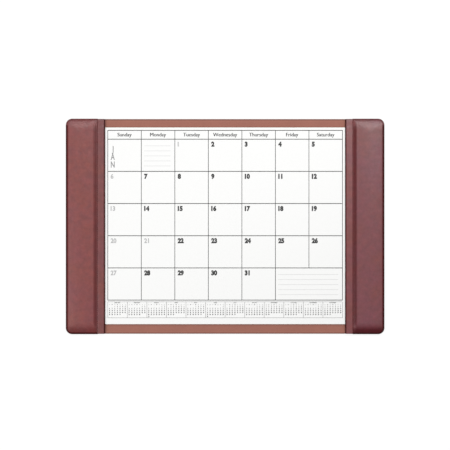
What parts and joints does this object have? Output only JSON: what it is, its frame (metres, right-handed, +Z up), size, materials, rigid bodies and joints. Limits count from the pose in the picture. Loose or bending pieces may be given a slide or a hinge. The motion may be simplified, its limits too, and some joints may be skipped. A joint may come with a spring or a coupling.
{
  "type": "desk pad calendar",
  "caption": "Felt-backed desk pad with padded leather side rails whose flaps hold a pad of large monthly calendar sheets by its edges.",
  "frame": {"origin": "middle of the footprint, on the surface that the pad lies on", "axes": "+X to the right of the calendar as it is read, +Y towards its top edge, +Z up out of the page"},
  "size_m": [0.7, 0.4736, 0.0134],
  "materials": {
    "leather": "smooth burgundy top-grain leather, softly mottled, satin",
    "liner": "matt red-brown cover paper",
    "board": "bare pressed fibre board",
    "greyboard": "bare grey chipboard",
    "foam": "soft open foam",
    "felt": "flat dark felt",
    "paper": "white uncoated writing paper",
    "gum": "dried padding gum, slightly glossy",
    "ink": "matt grey printing ink"
  },
  "bodies": {
    "root": {"base_board": "board", "board_liner": "liner", "felt_backing": "felt", "left_rail_cover": "leather", "left_rail_padding": "foam", "left_rail_stiffener": "greyboard", "left_rail_spacer": "greyboard", "right_rail_cover": "leather", "right_rail_padding": "foam", "right_rail_stiffener": "greyboard", "right_rail_spacer": "greyboard", "calendar_sheets": "paper", "calendar_card": "greyboard", "calendar_gum_binding": "gum", "calendar_month_grid": "ink", "calendar_month_strip": "ink"}
  },
  "joints": []
}
